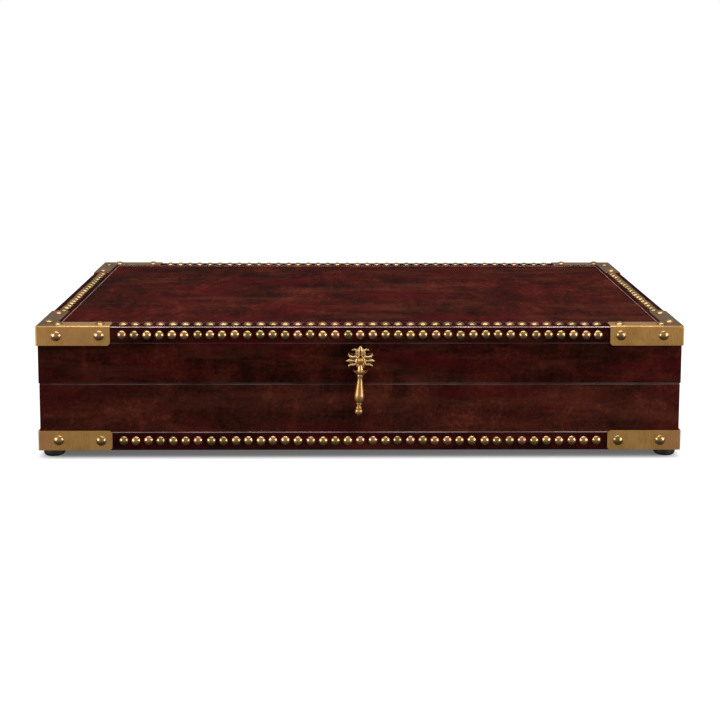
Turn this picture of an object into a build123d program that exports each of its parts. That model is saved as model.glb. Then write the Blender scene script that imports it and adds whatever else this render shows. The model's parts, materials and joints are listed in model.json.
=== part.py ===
"""Leather-covered wooden box with a hinged lid, brass corners, rows of brass nails and a drop pull.

Millimetres. X runs left to right, +Y to the back and +Z up. The origin is on the floor under the
middle of the box. The lid is closed, and the drop pull is on its front.
"""
from build123d import *
import math
import os

# Overall size over the brass corners of the lid, from the floor up
overall_length = 610.0
overall_depth = 356.0
overall_height = 127.0
seam_height = 71.0
seam_gap = 0.4
lid_overhang = 0.6

# Boards of the carcass
wall_board = 14.0
bottom_board = 9.0
top_board = 9.0

# Leather glued over the boards, turned in over the rims and under the bottom
leather_thickness = 1.2
leather_corner = 0.8
turn_under = 24.0

# Leather strips that bind the top edges of the lid and the foot of the base
trim_thickness = 0.7
trim_fold_radius = 1.0
trim_top_width = 19.3
trim_drop = 16.0
base_trim_height = 17.5

# Brass corner plates
plate_thickness = 1.0
plate_fold_radius = 1.5
plate_leg = 70.0
plate_top_width = 18.0
plate_drop = 19.0
plate_end_radius = 3.5

# Felt lining and the cloth under the bottom
felt_thickness = 1.5
floor_pad_thickness = 2.0
lining_below_rim = 2.0
cloth_thickness = 0.8

# Facets round a small nail or screw, and round a turned piece
small_sides = 8
turned_sides = 12

# Nail heads in rows along the strips, and two on each leg of a plate
nail_diameter = 8.7
nail_height = 2.4
long_row_gap = 3.1
short_row_gap = 2.65
row_end_gap = 0.65
plate_nail_diameter = 9.4
plate_nail_near = 19.6
plate_nail_far = 59.5

# Rubber feet, each screwed to the bottom board through its recess
foot_height = 7.0
foot_diameter = 20.3
foot_sole_diameter = 13.2
foot_curve_height = 3.8
foot_curve_steps = 2
foot_inset = 11.0
foot_recess_depth = 3.0
foot_recess_gap = 1.0
foot_screw_radius = 1.75
foot_screw_head_radius = 3.5
foot_screw_head_height = 2.0
foot_screw_bite = 7.0

# Stop hinges: the bevelled back rims of base and lid meet when the lid is open
opening_angle = 95.0
stop_gap = 0.15
axis_setback = 3.6
knuckle_radius = 2.4
knuckle_count = 3
knuckle_gap = 0.3
hinge_length = 55.0
hinge_from_end = 105.0
leaf_width = 11.0
leaf_thickness = 1.2
hinge_pin_radius = 1.2
pin_clearance = 0.05
pocket_clearance = 0.35
leaf_screw_spacing = 32.0
leaf_screw_head_radius = 2.2
leaf_screw_radius = 1.1
leaf_screw_bite = 9.0
screw_clearance = 0.05

# Drop pull: a pierced rosette, a forked post that goes through the lid, and a drop on a cross pin
rosette_below_strip = 2.4
pull_reach = 5.5
rosette_thickness = 1.0
petal_root = 3.0
root_share = 0.6
hook_share = 0.3
# The leaves of one half of the rosette, each a direction above the horizontal, how far its edges and
# its tip lie from the middle, its width, and how far its tip hooks to the left of its direction
horn = (64, 9.6, 11.6, 2.4, -3.0)
upper_claw = (17, 9.6, 12.1, 2.8, 3.1)
finger = (-3, 10.4, 13.8, 3.4, 0.0)
lower_claw = (-23, 9.8, 12.3, 2.8, -3.8)
# The crown in the middle: how far its edges and its tip lie from the middle, and its width
crown_shoulder = 8.4
crown_tip = 13.6
crown_width = 9.0
boss_width = 8.6
boss_height = 17.0
boss_thickness = 1.0
boss_slope = 45.0
post_radius = 2.0
fork_width = 4.6
fork_radius = 2.2
fork_bevel = 1.2
fork_slot = 1.9
tab_thickness = 1.6
tab_radius = 2.3
tab_width = 3.4
tab_play = 0.4
cross_pin_radius = 0.8
nut_across_flats = 7.0
nut_thickness = 2.4
nut_room = 1.0
stud_end = 0.8
collar_top = 10.0
collar_width = 13.6
collar_depth = 9.4
collar_tip = 1.0
collar_dip = 1.6
collar_height = 3.4
body_top_radius = 3.4
body_widest = 33.0
body_radius = 5.0
shoulder_low = 37.4
shoulder_radius = 4.2
body_end = 39.3
body_end_radius = 2.0
ring_middle = 40.7
ring_radius = 2.5
neck_low = 42.2
neck_radius = 1.8
bead_middle = 44.2
bead_radius = 2.9
ball_radius = 3.8
ball_from = 48.0
ball_to = 162.0
ball_rings = 5
drop_length = 51.6

# Levels and outlines that follow from the sizes above
brass_stack = trim_thickness + plate_thickness
lid_length = overall_length - 2 * brass_stack
lid_depth = overall_depth - 2 * brass_stack
base_length = lid_length - 2 * lid_overhang
base_depth = lid_depth - 2 * lid_overhang
leather_top = overall_height - brass_stack
trim_top = leather_top + trim_thickness
pull_height = trim_top - trim_drop - rosette_below_strip - crown_tip
base_rim = seam_height - seam_gap / 2
lid_rim = seam_height + seam_gap / 2
board_foot = foot_height + leather_thickness
floor_level = board_foot + bottom_board
base_board_rim = base_rim - leather_thickness
lid_board_rim = lid_rim + leather_thickness
lid_board_top = leather_top - leather_thickness
ceiling_level = lid_board_top - top_board
wall_stack = leather_thickness + wall_board
hinge_y = lid_depth / 2 - axis_setback
reach = 3 * (axis_setback + knuckle_radius)
station = hinge_length / knuckle_count
hinge_places = (hinge_from_end - overall_length / 2, overall_length / 2 - hinge_from_end)
foot_places = [
    (side * (base_length / 2 - foot_inset), end * (base_depth / 2 - foot_inset))
    for side in (-1, 1)
    for end in (-1, 1)
]
LOW, MID, HIGH = Align.MIN, Align.CENTER, Align.MAX
on_base = (MID, MID, LOW)

pieces = {}


def slab(length, depth, low, high):
    """A block centred over the origin, from one level to another."""
    return Pos(0, 0, low) * Box(length, depth, high - low, align=on_base)


def four_sides(length, depth):
    """Name, turn about Z, distance from the middle and length of each side."""
    return (
        ("front", 0, depth / 2, length),
        ("right", 90, length / 2, depth),
        ("back", 180, depth / 2, length),
        ("left", 270, length / 2, depth),
    )


def mitred(distance, length, thickness, low, high):
    """The front one of four pieces that meet at 45 degrees in the corners."""
    outline = Polygon(
        (-length / 2, -distance),
        (length / 2, -distance),
        (length / 2 - thickness, thickness - distance),
        (thickness - length / 2, thickness - distance),
        align=None,
    )
    return Pos(0, 0, low) * extrude(outline, high - low)


def keep_corners(name, front_left):
    """Stores a front left corner piece and its three mirror images."""
    front_right = mirror(front_left, about=Plane.YZ)
    pieces[name + "_front_left"] = front_left
    pieces[name + "_front_right"] = front_right
    pieces[name + "_back_left"] = mirror(front_left, about=Plane.XZ)
    pieces[name + "_back_right"] = mirror(front_right, about=Plane.XZ)


# The outer forms of base and lid, grown outwards by each layer that lies on them

def base_form(layer):
    return slab(base_length + 2 * layer, base_depth + 2 * layer, foot_height, base_rim)


def lid_form(layer):
    return slab(lid_length + 2 * layer, lid_depth + 2 * layer, lid_rim, leather_top + layer)


def folded_top(form, radius):
    """A form with its top edges rounded, as a sheet is where it is folded over them."""
    return fillet(form.edges().group_by(Axis.Z)[-1], radius)


base_leather_form = chamfer(base_form(0).edges().filter_by(Axis.Z), leather_corner)
lid_leather_form = chamfer(lid_form(0).edges().filter_by(Axis.Z), leather_corner)


def facetted(radius, top_radius, height, sides=small_sides):
    """A straight or tapering round piece with flat facets, standing on the floor."""
    if radius < top_radius:
        return Pos(0, 0, height) * Rot(X=180) * facetted(top_radius, radius, height, sides)
    inward = (radius - top_radius) * math.cos(math.pi / sides)
    slope = math.degrees(math.atan2(inward, height))
    return extrude(RegularPolygon(radius, sides), height, taper=slope)


def base_bevel(depth_in):
    """Cuts the back rim of the base off along a plane that falls backwards from the hinge axis."""
    cut = Pos(0, 0, -stop_gap - depth_in) * Box(overall_length, reach, reach, align=on_base)
    return Pos(0, hinge_y, seam_height) * Rot(X=-opening_angle / 2) * cut


def lid_bevel(depth_in):
    """The same for the lid, along a plane that rises backwards from the hinge axis."""
    cut = Pos(0, 0, stop_gap + depth_in) * Box(overall_length, reach, reach, align=(MID, MID, HIGH))
    return Pos(0, hinge_y, seam_height) * Rot(X=opening_angle / 2) * cut


# Hinges. Into is -1 for what goes down into the base and 1 for what goes up into the lid.

def along_axis(piece):
    """Lays an upright piece along the hinge axis."""
    return Pos(0, hinge_y, seam_height) * Rot(Y=90) * piece


def leaf_screws(place, face, into, clearance):
    """The countersunk screws of a leaf, flush with its face, or the holes for them."""
    shank_radius = leaf_screw_radius + clearance
    screw = facetted(leaf_screw_head_radius + clearance, shank_radius, leaf_thickness)
    screw += Pos(0, 0, leaf_thickness) * facetted(shank_radius, shank_radius, leaf_screw_bite + clearance)
    row = Pos(place, hinge_y - (knuckle_radius + leaf_width) / 2, face) * Rot(X=90 - 90 * into)
    return [row * Pos(spot, 0, 0) * screw for spot in (-leaf_screw_spacing / 2, leaf_screw_spacing / 2)]


def hinge_pocket(place, face, into):
    """Room in a rim for a leaf and for the knuckles, with the holes for its screws."""
    along = hinge_length + 2 * pocket_clearance
    knuckles = Box(along, *(2 * [2 * (knuckle_radius + pocket_clearance)]))
    leaf = Box(along, leaf_width + pocket_clearance, reach, align=(MID, HIGH, HIGH if into > 0 else LOW))
    pocket = Pos(place, hinge_y, seam_height) * knuckles
    pocket += Pos(place, hinge_y, face + into * leaf_thickness) * leaf
    return [pocket] + leaf_screws(place, face, into, screw_clearance)


def hinge_leaf(place, face, into, first):
    """A leaf let into a rim, with every second knuckle and its countersunk holes."""
    plate = Box(hinge_length, leaf_width, leaf_thickness, align=(MID, HIGH, LOW if into > 0 else HIGH))
    leaf = Pos(0, hinge_y, face) * plate
    notch = Box(station + knuckle_gap, reach, reach, align=(MID, LOW, MID))
    length = station - knuckle_gap
    knuckle = facetted(knuckle_radius, knuckle_radius, length, turned_sides)
    for number in range(knuckle_count):
        middle = (number - (knuckle_count - 1) / 2) * station
        if number % 2 == first:
            leaf += along_axis(Pos(0, 0, middle - length / 2) * knuckle)
        else:
            leaf -= Pos(middle, hinge_y - knuckle_radius - knuckle_gap, seam_height) * notch
    leaf -= along_axis(Cylinder(hinge_pin_radius + pin_clearance, hinge_length))
    return Pos(place, 0, 0) * leaf - leaf_screws(place, face, into, screw_clearance)


for side, place in zip(("left", "right"), hinge_places):
    pieces["hinge_base_leaf_" + side] = hinge_leaf(place, base_rim, -1, 0)
    pieces["hinge_lid_leaf_" + side] = hinge_leaf(place, lid_rim, 1, 1)
    pieces["hinge_pin_" + side] = Pos(place, 0, 0) * along_axis(Cylinder(hinge_pin_radius, hinge_length))
pieces["hinge_base_screws"] = Compound([s for x in hinge_places for s in leaf_screws(x, base_rim, -1, 0)])
pieces["hinge_lid_screws"] = Compound([s for x in hinge_places for s in leaf_screws(x, lid_rim, 1, 0)])
base_hinge_cuts = [cut for place in hinge_places for cut in hinge_pocket(place, base_rim, -1)]
lid_hinge_cuts = [cut for place in hinge_places for cut in hinge_pocket(place, lid_rim, 1)]


# Feet

def foot_screw(clearance):
    """A screw up through a foot, its head against the floor of the recess, or the hole for it."""
    radius = foot_screw_radius + clearance
    length = board_foot + foot_screw_bite - foot_recess_depth + clearance
    head = facetted(foot_screw_head_radius, foot_screw_head_radius, foot_screw_head_height)
    screw = facetted(radius, radius, length) + Pos(0, 0, -foot_screw_head_height) * head
    return Pos(0, 0, foot_recess_depth) * screw


def foot_outline(step):
    """Height and radius of the foot at each step of its rounded edge, from the sole up."""
    turn = math.pi / 2 * step / foot_curve_steps
    widening = (foot_diameter - foot_sole_diameter) / 2 * math.sin(turn)
    return foot_curve_height * (1 - math.cos(turn)), foot_sole_diameter / 2 + widening


straight = foot_height - foot_curve_height
foot = Pos(0, 0, foot_curve_height) * facetted(foot_diameter / 2, foot_diameter / 2, straight, turned_sides)
for step in range(foot_curve_steps):
    (low, radius), (high, top_radius) = foot_outline(step), foot_outline(step + 1)
    foot += Pos(0, 0, low) * facetted(radius, top_radius, high - low, turned_sides)
recess_radius = foot_screw_head_radius + foot_recess_gap
foot -= facetted(recess_radius, recess_radius, foot_recess_depth)
foot -= foot_screw(screw_clearance)
foot_holes = [Pos(x, y, 0) * foot_screw(screw_clearance) for x, y in foot_places]
pieces["rubber_feet"] = Compound([Pos(x, y, 0) * foot for x, y in foot_places])
pieces["foot_screws"] = Compound([Pos(x, y, 0) * foot_screw(0) for x, y in foot_places])


# Base carcass: a bottom board with four mitred walls on it
board_length = base_length - 2 * leather_thickness
board_depth = base_depth - 2 * leather_thickness
pieces["base_bottom_board"] = slab(board_length, board_depth, board_foot, floor_level) - foot_holes
for side, turn, distance, length in four_sides(board_length, board_depth):
    wall = Rot(Z=turn) * mitred(distance, length, wall_board, floor_level, base_board_rim)
    wall -= base_bevel(leather_thickness)
    if side == "back":
        wall -= base_hinge_cuts
    pieces["base_{}_board".format(side)] = wall

# Base leather, cloth under the bottom, and lining
base_room = (base_length - 2 * wall_stack, base_depth - 2 * wall_stack)
leather = base_leather_form - base_bevel(0)
leather -= slab(board_length, board_depth, board_foot, base_board_rim) - base_bevel(leather_thickness)
leather -= slab(*base_room, floor_level, overall_height)
under = (base_length - 2 * turn_under, base_depth - 2 * turn_under)
leather -= slab(*under, 0, board_foot)
pieces["base_leather"] = leather - base_hinge_cuts - foot_holes
pieces["base_underside_cloth"] = slab(*under, board_foot - cloth_thickness, board_foot)
pieces["base_lining_floor"] = slab(*base_room, floor_level, floor_level + floor_pad_thickness)
lining_room = [size - 2 * felt_thickness for size in base_room]
lining_levels = (floor_level + floor_pad_thickness, base_rim - lining_below_rim)
pieces["base_lining_walls"] = slab(*base_room, *lining_levels) - slab(*lining_room, *lining_levels)

# Strips round the foot of the base, mitred in the corners
base_trim = base_form(trim_thickness) - base_leather_form
for side, turn, distance, length in four_sides(
    base_length + 2 * trim_thickness, base_depth + 2 * trim_thickness
):
    share = mitred(distance, length, wall_stack, foot_height, foot_height + base_trim_height)
    pieces["base_trim_" + side] = base_trim & Rot(Z=turn) * share


# Lid carcass: four mitred walls under a top board
board_length = lid_length - 2 * leather_thickness
board_depth = lid_depth - 2 * leather_thickness
lid_room = (lid_length - 2 * wall_stack, lid_depth - 2 * wall_stack)
front_face = Pos(0, -lid_depth / 2, pull_height) * Rot(X=90)
stud_hole_radius = post_radius + screw_clearance
stud_hole = facetted(stud_hole_radius, stud_hole_radius, 2 * wall_stack)
stud_hole = front_face * Pos(0, 0, -wall_stack) * stud_hole
pieces["lid_top_board"] = slab(board_length, board_depth, ceiling_level, lid_board_top)
for side, turn, distance, length in four_sides(board_length, board_depth):
    wall = Rot(Z=turn) * mitred(distance, length, wall_board, lid_board_rim, ceiling_level)
    wall -= lid_bevel(leather_thickness)
    if side == "back":
        wall -= lid_hinge_cuts
    if side == "front":
        wall -= stud_hole
    pieces["lid_{}_board".format(side)] = wall

# Lid leather and lining
leather = lid_leather_form - lid_bevel(0)
leather -= slab(board_length, board_depth, lid_board_rim, lid_board_top) - lid_bevel(leather_thickness)
leather -= slab(*lid_room, 0, ceiling_level)
pieces["lid_leather"] = leather - lid_hinge_cuts - stud_hole
pieces["lid_lining_top"] = slab(*lid_room, ceiling_level - felt_thickness, ceiling_level)
lining_room = [size - 2 * felt_thickness for size in lid_room]
lining_levels = (lid_rim + lining_below_rim, ceiling_level - felt_thickness)
lining = slab(*lid_room, *lining_levels) - slab(*lining_room, *lining_levels)
nut_radius = nut_across_flats / 2 / math.cos(math.pi / 6)
nut_hole = facetted(nut_radius + nut_room, nut_radius + nut_room, 2 * felt_thickness, 6)
pieces["lid_lining_walls"] = lining - front_face * Pos(0, 0, -wall_stack - felt_thickness) * nut_hole

# Strips folded over the top edges of the lid, mitred in the corners
lid_trim = folded_top(lid_form(trim_thickness), trim_fold_radius) - lid_leather_form
inside_trim = (lid_length - 2 * trim_top_width, lid_depth - 2 * trim_top_width)
lid_trim -= slab(*inside_trim, leather_top, trim_top)
for side, turn, distance, length in four_sides(
    lid_length + 2 * trim_thickness, lid_depth + 2 * trim_thickness
):
    share = mitred(distance, length, trim_top_width + trim_thickness, trim_top - trim_drop, trim_top)
    pieces["lid_trim_" + side] = lid_trim & Rot(Z=turn) * share


# Corner plates, cut from the outermost layer by blocks as large as their legs

def leg(width, depth, rounded):
    """A block along X as large as a leg, with one or both corners of its end rounded."""
    outline = Rectangle(plate_leg, width, align=(LOW, LOW))
    corners = outline.vertices().group_by(Axis.X)[-1].sort_by(Axis.Y)[:rounded]
    return extrude(fillet(corners, plate_end_radius), depth)


def both_ways(front_leg):
    """A leg along the front and its mirror image along the side."""
    return front_leg + mirror(Rot(Z=90) * front_leg, about=Plane.YZ)


def side_legs(low, rounded):
    """The upright legs of a plate, from a level upwards."""
    half = plate_top_width / 2
    return both_ways(Pos(0, half, low) * Rot(X=90) * leg(plate_drop, half, rounded))


base_brass_length = base_length + 2 * brass_stack
base_brass_depth = base_depth + 2 * brass_stack
base_brass = fillet(base_form(brass_stack).edges().filter_by(Axis.Z), plate_fold_radius)
base_brass -= base_form(trim_thickness)
corner = Pos(-base_brass_length / 2, -base_brass_depth / 2, 0)
keep_corners("base_corner", base_brass & corner * side_legs(foot_height, 2))

lid_brass = fillet(lid_form(brass_stack).edges().filter_by(Axis.Z), plate_fold_radius)
lid_brass = folded_top(lid_brass, plate_fold_radius) - lid_form(trim_thickness)
top_leg = Pos(0, plate_top_width, overall_height) * Rot(X=180) * leg(plate_top_width, brass_stack, 1)
corner = Pos(-overall_length / 2, -overall_depth / 2, 0)
legs = side_legs(overall_height - plate_drop, 1) + both_ways(top_leg)
keep_corners("lid_corner", lid_brass & corner * legs)


# Nails

def row_places(brass_length, gap):
    """Evenly spaced places between two plates, as many as fit."""
    pitch = nail_diameter + gap
    clear = brass_length - 2 * plate_leg - 2 * row_end_gap - nail_diameter
    count = int(clear / pitch) + 1
    return [(number - (count - 1) / 2) * pitch for number in range(count)]


def leg_places(brass_length):
    """The places of the nails on the plates of one side."""
    return [
        sign * (brass_length / 2 - inward)
        for sign in (-1, 1)
        for inward in (plate_nail_near, plate_nail_far)
    ]


def side_nails(nail, brass_length, brass_depth, layer, level, places):
    """Nails along all four upright sides, with the places given by a function of the side."""
    heads = []
    for side, turn, distance, length in four_sides(brass_length, brass_depth):
        upright = Rot(Z=turn) * Pos(0, layer - distance, level) * Rot(X=90)
        heads += [upright * Pos(place, 0, 0) * nail for place in places(side, length)]
    return Compound(heads)


def top_nails(nail, inset, level, places):
    """Nails along all four edges of the lid's top."""
    heads = []
    for side, turn, distance, length in four_sides(overall_length, overall_depth):
        along = Rot(Z=turn) * Pos(0, inset - distance, level)
        heads += [along * Pos(place, 0, 0) * nail for place in places(side, length)]
    return Compound(heads)


def in_row(side, length):
    return row_places(length, long_row_gap if side in ("front", "back") else short_row_gap)


def on_plates(side, length):
    return leg_places(length)


def nail_head(diameter):
    """A low head, simplified to a point in the middle."""
    return loft([RegularPolygon(diameter / 2, small_sides).face(), Vertex(0, 0, nail_height)], ruled=True)


row_nail = nail_head(nail_diameter)
plate_nail = nail_head(plate_nail_diameter)

base_brass_size = (base_brass_length, base_brass_depth)
lid_brass_size = (overall_length, overall_depth)
base_row_level = foot_height + base_trim_height / 2
lid_row_level = trim_top - trim_drop / 2
top_row_inset = brass_stack + trim_top_width / 2
base_leg_level = foot_height + plate_drop / 2
lid_leg_level = overall_height - plate_drop / 2
pieces["base_row_nails"] = side_nails(row_nail, *base_brass_size, plate_thickness, base_row_level, in_row)
pieces["base_corner_nails"] = side_nails(plate_nail, *base_brass_size, 0, base_leg_level, on_plates)
pieces["lid_row_nails"] = side_nails(row_nail, *lid_brass_size, plate_thickness, lid_row_level, in_row)
pieces["lid_top_nails"] = top_nails(row_nail, top_row_inset, trim_top, in_row)
pieces["lid_corner_nails"] = Compound(
    [
        *side_nails(plate_nail, *lid_brass_size, 0, lid_leg_level, on_plates),
        *top_nails(plate_nail, plate_top_width / 2, overall_height, on_plates),
    ]
)


# Drop pull, in the frame of the lid's front face: x to the right, y up and z outwards
stack = rosette_thickness + boss_thickness


def petal(direction, shoulder, tip, width, hook):
    """A pointed leaf of the rosette, narrower at its root, with its tip hooked to one side."""
    outline = Polygon(
        (petal_root, -width / 2 * root_share),
        (shoulder, hook * hook_share - width / 2),
        (tip, hook),
        (shoulder, hook * hook_share + width / 2),
        (petal_root, width / 2 * root_share),
        align=None,
    )
    return Rot(Z=direction) * outline


def cross_pin(radius):
    """The pin that the drop hangs on, or the hole for it in the fork."""
    return Pos(0, 0, pull_reach) * Rot(Y=90) * Cylinder(radius, fork_width)


turns = [2 * math.pi * number / turned_sides for number in range(turned_sides)]
boss_corners = [(math.cos(turn) * boss_width / 2, math.sin(turn) * boss_height / 2) for turn in turns]
boss_outline = Polygon(*boss_corners, align=None)
rosette_outline = boss_outline + petal(90, crown_shoulder, crown_tip, crown_width, 0)
for direction, shoulder, tip, width, hook in (horn, upper_claw, finger, lower_claw):
    rosette_outline += petal(direction, shoulder, tip, width, hook)
    rosette_outline += petal(180 - direction, shoulder, tip, width, -hook)
rosette = extrude(rosette_outline, rosette_thickness)
rosette += Pos(0, 0, rosette_thickness) * extrude(boss_outline, boss_thickness, taper=boss_slope)
pieces["pull_rosette"] = front_face * rosette - stud_hole

fork = Pos(0, 0, stack) * Box(fork_width, 2 * fork_radius, fork_radius + pull_reach - stack, align=on_base)
fork = chamfer(fork.edges().filter_by(Axis.X).group_by(Axis.Z)[-1], fork_bevel)
slot_floor = pull_reach - tab_radius - tab_play
fork -= Pos(0, 0, slot_floor) * Box(fork_slot, 3 * fork_radius, pull_reach, align=on_base)
fork -= cross_pin(cross_pin_radius + pin_clearance)
stud_length = stack + wall_stack + nut_thickness + stud_end
fork += Pos(0, 0, stack - stud_length) * facetted(post_radius, post_radius, stud_length)
pieces["pull_post"] = front_face * fork
pieces["pull_pin"] = front_face * cross_pin(cross_pin_radius)
nut = facetted(nut_radius, nut_radius, nut_thickness, 6)
nut -= facetted(stud_hole_radius, stud_hole_radius, nut_thickness)
pieces["pull_nut"] = front_face * Pos(0, 0, -wall_stack - nut_thickness) * nut

# The drop, hanging under its pivot, with a flattened collar and turned facets below it
collar_end = collar_top + collar_height
collar_outline = Polygon(
    (-collar_width / 2, -collar_top),
    (-collar_width / 2, -collar_top - collar_tip),
    (-body_top_radius, -collar_end),
    (body_top_radius, -collar_end),
    (collar_width / 2, -collar_top - collar_tip),
    (collar_width / 2, -collar_top),
    (collar_width / 2 - collar_dip, -collar_top - collar_tip),
    (collar_dip - collar_width / 2, -collar_top - collar_tip),
    align=None,
)
collar = extrude(Plane.XZ * collar_outline, collar_depth / 2, both=True)
collar_block = Pos(0, 0, -drop_length) * Box(collar_width, collar_depth, drop_length, align=on_base)
collar &= chamfer(collar_block.edges().filter_by(Axis.Z), collar_depth / 3)

ball_centre = drop_length - ball_radius
turned_outline = [
    (collar_end, body_top_radius),
    (body_widest, body_radius),
    (shoulder_low, shoulder_radius),
    (body_end, body_end_radius),
    (ring_middle, ring_radius),
    (neck_low, neck_radius),
    (bead_middle, bead_radius),
]
for number in range(ball_rings + 1):
    turn = math.radians(ball_from + (ball_to - ball_from) * number / ball_rings)
    turned_outline.append((ball_centre - ball_radius * math.cos(turn), ball_radius * math.sin(turn)))
drop = collar
for (high, top_radius), (low, radius) in zip(turned_outline, turned_outline[1:]):
    drop += Pos(0, 0, -low) * facetted(radius, top_radius, low - high, turned_sides)
tab = Box(tab_thickness, tab_width, collar_top + collar_tip, align=(MID, MID, HIGH))
tab += Rot(Y=90) * Cylinder(tab_radius, tab_thickness)
drop += tab - Rot(Y=90) * Cylinder(cross_pin_radius + pin_clearance, fork_width)
pieces["pull_drop"] = Pos(0, -lid_depth / 2 - pull_reach, pull_height) * drop

os.makedirs("parts", exist_ok=True)
for name, shape in pieces.items():
    export_step(shape, "parts/{}.step".format(name))
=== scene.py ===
import json
import math
import random

import bmesh
import bpy
from mathutils import Matrix, Vector


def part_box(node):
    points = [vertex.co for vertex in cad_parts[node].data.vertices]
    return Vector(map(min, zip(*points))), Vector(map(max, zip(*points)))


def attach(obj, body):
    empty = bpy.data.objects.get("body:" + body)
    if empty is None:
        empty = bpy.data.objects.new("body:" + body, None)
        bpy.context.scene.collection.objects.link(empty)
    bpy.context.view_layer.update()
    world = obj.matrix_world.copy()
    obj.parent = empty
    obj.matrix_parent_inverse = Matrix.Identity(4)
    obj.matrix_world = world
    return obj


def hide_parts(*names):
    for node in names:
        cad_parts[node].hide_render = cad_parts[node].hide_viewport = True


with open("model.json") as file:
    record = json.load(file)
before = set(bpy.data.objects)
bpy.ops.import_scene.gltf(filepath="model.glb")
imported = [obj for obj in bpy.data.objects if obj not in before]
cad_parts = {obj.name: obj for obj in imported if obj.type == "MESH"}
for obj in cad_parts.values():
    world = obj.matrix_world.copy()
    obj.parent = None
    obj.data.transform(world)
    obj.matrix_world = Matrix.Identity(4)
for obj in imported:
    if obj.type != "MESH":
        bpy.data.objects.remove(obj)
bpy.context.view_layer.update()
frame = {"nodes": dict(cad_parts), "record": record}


# Camera: a long lens more than a metre in front of the box and a little above it, as in the photograph.
# It looks nearly level, and a downward shift brings the box to the middle of the picture.
camera_data = bpy.data.cameras.new("camera")
camera_data.lens = 64.99
camera_data.sensor_width = 36.0
camera_data.shift_y = -0.25
camera_data.clip_start = 0.05
camera_data.clip_end = 60.0
camera = bpy.data.objects.new("camera", camera_data)
camera.location = (-0.0146, -1.3758, 0.3916)
camera.rotation_euler = (math.radians(83.949), math.radians(-0.127), math.radians(-0.642))
bpy.context.scene.collection.objects.link(camera)
bpy.context.scene.camera = camera
bpy.context.scene.view_settings.view_transform = "Standard"


# Studio light: a softbox overhead, one on either side that only shines in the metal, so that each domed
# nail has three highlights, and a small one from the right that shades the leather. The studio is dim,
# most of all low down and behind the box, and its white background is only there for the camera.
def linear(hex_colour):
    """The linear colour of an sRGB hex value."""
    parts = [int(hex_colour[i : i + 2], 16) / 255 for i in (1, 3, 5)]
    return [c / 12.92 if c <= 0.04045 else ((c + 0.055) / 1.055) ** 2.4 for c in parts] + [1.0]


def add(tree, kind, inputs=None, stops=None, **settings):
    """Adds a shader node: settings are its properties, inputs its values or links, stops its ramp."""
    made = tree.nodes.new("ShaderNode" + kind)
    for key, value in settings.items():
        setattr(made, key, value)
    for key, value in (inputs or {}).items():
        if isinstance(value, bpy.types.NodeSocket):
            tree.links.new(value, made.inputs[key])
        else:
            made.inputs[key].default_value = value
    if stops:
        ramp = made.color_ramp
        while len(ramp.elements) < len(stops):
            ramp.elements.new(0.5)
        for element, (position, colour) in zip(ramp.elements, stops):
            element.position = position
            element.color = linear(colour)
    return made


# Each softbox: its place, what it points at, width, height, watts, and whether it lights leather, metal
softboxes = {
    "overhead_softbox": ((0.0, -0.28, 1.4), (0, -0.2, 0.1), 1.5, 0.45, 15, True, True),
    "left_softbox": ((-1.45, -0.95, 0.32), (-0.1, -0.18, 0.1), 0.5, 0.55, 17, False, True),
    "right_softbox": ((1.45, -0.95, 0.32), (0.1, -0.18, 0.1), 0.5, 0.55, 17, False, True),
    "right_fill": ((1.45, -0.95, 0.5), (0.1, -0.18, 0.1), 0.25, 0.25, 12, True, False),
}
for name, (place, target, width, height, watts, on_leather, on_metal) in softboxes.items():
    light_data = bpy.data.lights.new(name, "AREA")
    light_data.shape = "RECTANGLE"
    light_data.size = width
    light_data.size_y = height
    light_data.energy = watts
    light = bpy.data.objects.new(name, light_data)
    light.visible_diffuse = on_leather
    light.visible_glossy = on_metal
    light.location = place
    light.rotation_euler = (Vector(target) - light.location).to_track_quat("-Z", "Y").to_euler()
    bpy.context.scene.collection.objects.link(light)

world = bpy.data.worlds.new("studio")
world.use_nodes = True
tree = world.node_tree
tree.nodes.clear()
low_walls, high_walls = 0.12, 0.56
brightening = (0.0, -0.22, 1.0)
direction = add(tree, "TexCoord").outputs["Generated"]
upwards = add(tree, "VectorMath", {0: direction, 1: brightening}, operation="DOT_PRODUCT")
dim = add(tree, "MapRange", {"Value": upwards.outputs["Value"], "From Min": -0.5, "From Max": 0.5,
                             "To Min": low_walls, "To Max": high_walls})
walls = add(tree, "Background", {"Color": (1, 1, 1, 1), "Strength": dim.outputs[0]})
backdrop = add(tree, "Background", {"Color": (1, 1, 1, 1), "Strength": 1.0})
seen = add(tree, "MixShader", {0: add(tree, "LightPath").outputs["Is Camera Ray"], 1: walls.outputs[0],
                               2: backdrop.outputs[0]})
add(tree, "OutputWorld", {"Surface": seen.outputs[0]})
bpy.context.scene.world = world


# Floor: a light table of opal acrylic with a matt surface, which glows white from below right up to the box,
# where its glow fades into a painted soft shadow. It is wide enough to reach the horizon, and doesn't light
# the box.
def new_material(name):
    """An empty material with its output, and the coordinates of the piece in metres."""
    made = bpy.data.materials.new(name)
    made.use_nodes = True
    made.node_tree.nodes.clear()
    add(made.node_tree, "OutputMaterial")
    return made, made.node_tree, add(made.node_tree, "TexCoord").outputs["Object"]


def shade(tree, **sockets):
    """The surface shader of a material, with its sockets named as keywords."""
    named = {key.replace("_", " "): value for key, value in sockets.items()}
    shader = add(tree, "BsdfPrincipled", named)
    output = next(n for n in tree.nodes if n.type == "OUTPUT_MATERIAL")
    tree.links.new(shader.outputs["BSDF"], output.inputs["Surface"])
    return shader


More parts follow.
